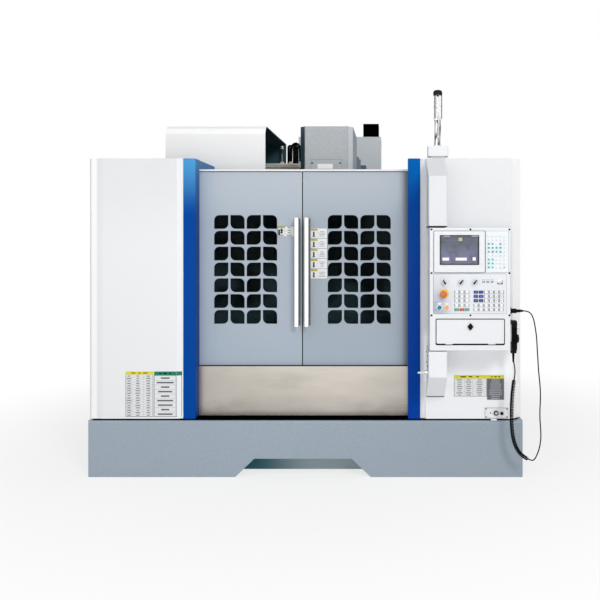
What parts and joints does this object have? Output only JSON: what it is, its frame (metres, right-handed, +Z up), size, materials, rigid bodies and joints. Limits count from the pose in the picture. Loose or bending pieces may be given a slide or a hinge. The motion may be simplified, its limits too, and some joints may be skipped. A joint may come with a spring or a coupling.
{
  "type": "vertical machining center",
  "caption": "Enclosed vertical machining center with sliding windowed doors, swivelling control box, side tool magazine, curly-cord pendant and stack light",
  "frame": {"origin": "centre of the footprint on the floor", "axes": "+X to the operator's right, +Y to the back, +Z up; the front faces -Y"},
  "size_m": [2.6871, 2.5286, 2.429],
  "materials": {
    "tank_paint": "satin grey-blue paint",
    "white_paint": "fine textured white paint",
    "blue_paint": "gloss blue paint",
    "door_paint": "satin grey-blue paint",
    "cover_paint": "textured grey paint",
    "stainless": "brushed",
    "casting": "painted casting",
    "ground_iron": "ground face",
    "steel": "turned",
    "motor_black": "matt black",
    "rubber": "matt",
    "window_glass": "tinted laminated",
    "lamp_clear": "clear ribbed",
    "aluminium": "satin anodised",
    "bezel_white": "fine textured",
    "key_grey": "matt keys",
    "panel_lilac": "matt film",
    "stop_red": "gloss",
    "start_teal": "gloss",
    "hold_orange": "gloss",
    "black_plastic": "matt",
    "cord_black": "satin",
    "chrome": "polished"
  },
  "bodies": {
    "frame": {"coolant_tank": "tank_paint", "base_seal": "rubber", "machine_bed": "casting", "left_enclosure": "white_paint", "right_enclosure": "white_paint", "left_post": "blue_paint", "right_post": "blue_paint", "roof_side_beam": "blue_paint", "front_apron": "stainless", "door_top_rail": "white_paint", "door_bottom_rail": "stainless", "chip_pans": "stainless", "column": "casting", "z_servo_motor": "motor_black", "rear_guard": "white_paint", "magazine_beam": "casting", "magazine_cover": "white_paint", "conduit": "cord_black", "electrical_cabinet": "cover_paint", "cabinet_fan": "motor_black", "control_bracket": "white_paint", "stack_light_base": "white_paint", "stack_light_lens": "lamp_clear", "service_plate": "cover_paint"},
    "left_door": {"left_door_panel": "door_paint", "left_door_glass": "window_glass", "left_door_handle": "aluminium"},
    "right_door": {"right_door_panel": "door_paint", "right_door_glass": "window_glass", "right_door_handle": "aluminium"},
    "saddle_body": {"saddle": "casting"},
    "table_body": {"table": "ground_iron"},
    "head_body": {"head_casting": "casting", "head_cover": "cover_paint"},
    "spindle_body": {"spindle": "steel"},
    "magazine_body": {"magazine_carriage": "casting"},
    "carousel_body": {"carousel": "steel"},
    "control_box": {"control_box_shell": "white_paint", "display_bezel": "bezel_white", "mdi_keypad": "key_grey", "operator_panel": "panel_lilac", "pendant": "black_plastic", "cord_plug": "black_plastic", "cord_outer_run": "cord_black", "cord_inner_run": "cord_black", "cord_coil": "cord_black"},
    "emergency_stop_body": {"emergency_stop": "stop_red"},
    "cycle_start_body": {"cycle_start": "start_teal"},
    "feed_hold_body": {"feed_hold": "hold_orange"},
    "mode_knob_body": {"mode_knob": "black_plastic"},
    "feed_knob_body": {"feed_knob": "black_plastic"},
    "speed_knob_body": {"speed_knob": "black_plastic"},
    "flap_body": {"flap": "white_paint"},
    "flap_latch_body": {"flap_latch": "black_plastic"},
    "pendant_handwheel_body": {"pendant_handwheel": "black_plastic"},
    "pendant_axis_knob_body": {"pendant_axis_knob": "black_plastic"},
    "pendant_step_knob_body": {"pendant_step_knob": "black_plastic"},
    "clamp_lever_body": {"clamp_lever": "chrome"},
    "cabinet_door_body": {"cabinet_door": "cover_paint"},
    "cabinet_latch_body": {"cabinet_latch": "black_plastic"}
  },
  "joints": [
    {"name": "left_door_slide", "type": "slide", "parent": "frame", "child": "left_door", "axis": [-1, 0, 0], "range_m": [0, 0.56]},
    {"name": "right_door_slide", "type": "slide", "parent": "frame", "child": "right_door", "axis": [1, 0, 0], "range_m": [0, 0.56]},
    {"name": "y_axis_slide", "type": "slide", "parent": "frame", "child": "saddle_body", "axis": [0, 1, 0], "range_m": [-0.25, 0.25]},
    {"name": "x_axis_slide", "type": "slide", "parent": "saddle_body", "child": "table_body", "axis": [1, 0, 0], "range_m": [-0.4, 0.4]},
    {"name": "z_axis_slide", "type": "slide", "parent": "frame", "child": "head_body", "axis": [0, 0, 1], "range_m": [-0.5, 0]},
    {"name": "spindle_turn", "type": "hinge", "parent": "head_body", "child": "spindle_body", "pos_m": [0.075, -0.25, 1.55], "axis": [0, 0, 1], "continuous": true},
    {"name": "magazine_slide", "type": "slide", "parent": "frame", "child": "magazine_body", "axis": [1, 0, 0], "range_m": [0, 0.505]},
    {"name": "carousel_turn", "type": "hinge", "parent": "magazine_body", "child": "carousel_body", "pos_m": [-0.655, -0.25, 1.455], "axis": [0, 0, 1], "continuous": true},
    {"name": "control_box_swivel", "type": "hinge", "parent": "frame", "child": "control_box", "pos_m": [0.78, -1.105, 1.1375], "axis": [0, 0, -1], "range_deg": [0, 90]},
    {"name": "emergency_stop_push", "type": "slide", "parent": "control_box", "child": "emergency_stop_body", "axis": [0, 1, 0], "range_m": [0, 0.005]},
    {"name": "cycle_start_push", "type": "slide", "parent": "control_box", "child": "cycle_start_body", "axis": [0, 1, 0], "range_m": [0, 0.004], "stiffness_N_per_m": 400},
    {"name": "feed_hold_push", "type": "slide", "parent": "control_box", "child": "feed_hold_body", "axis": [0, 1, 0], "range_m": [0, 0.004], "stiffness_N_per_m": 400},
    {"name": "mode_knob_turn", "type": "hinge", "parent": "control_box", "child": "mode_knob_body", "pos_m": [0.812, -1.2323, 1.18], "axis": [0, -1, 0], "range_deg": [-90, 90]},
    {"name": "feed_knob_turn", "type": "hinge", "parent": "control_box", "child": "feed_knob_body", "pos_m": [0.908, -1.2323, 1.18], "axis": [0, -1, 0], "range_deg": [-135, 135]},
    {"name": "speed_knob_turn", "type": "hinge", "parent": "control_box", "child": "speed_knob_body", "pos_m": [0.986, -1.2323, 1.18], "axis": [0, -1, 0], "range_deg": [-60, 60]},
    {"name": "flap_hinge", "type": "hinge", "parent": "control_box", "child": "flap_body", "pos_m": [0.9595, -1.2303, 0.832], "axis": [1, 0, 0], "range_deg": [0, 95]},
    {"name": "flap_latch_turn", "type": "hinge", "parent": "flap_body", "child": "flap_latch_body", "pos_m": [0.9595, -1.2286, 0.928], "axis": [0, -1, 0], "range_deg": [0, 90]},
    {"name": "pendant_handwheel_turn", "type": "hinge", "parent": "control_box", "child": "pendant_handwheel_body", "pos_m": [1.2363, -1.118, 0.845], "axis": [1, 0, 0], "continuous": true},
    {"name": "pendant_axis_turn", "type": "hinge", "parent": "control_box", "child": "pendant_axis_knob_body", "pos_m": [1.2363, -1.138, 0.912], "axis": [1, 0, 0], "range_deg": [-60, 60]},
    {"name": "pendant_step_turn", "type": "hinge", "parent": "control_box", "child": "pendant_step_knob_body", "pos_m": [1.2363, -1.098, 0.912], "axis": [1, 0, 0], "range_deg": [-45, 45]},
    {"name": "clamp_lever_turn", "type": "hinge", "parent": "frame", "child": "clamp_lever_body", "pos_m": [0.7237, -1.15, 0.655], "axis": [1, 0, 0], "range_deg": [-60, 60]},
    {"name": "cabinet_door_hinge", "type": "hinge", "parent": "frame", "child": "cabinet_door_body", "pos_m": [-0.2885, 1.2443, 1.2], "axis": [0, 0, 1], "range_deg": [0, 110]},
    {"name": "cabinet_latch_turn", "type": "hinge", "parent": "cabinet_door_body", "child": "cabinet_latch_body", "pos_m": [0.3775, 1.2486, 1.22], "axis": [0, 1, 0], "range_deg": [0, 90]}
  ]
}
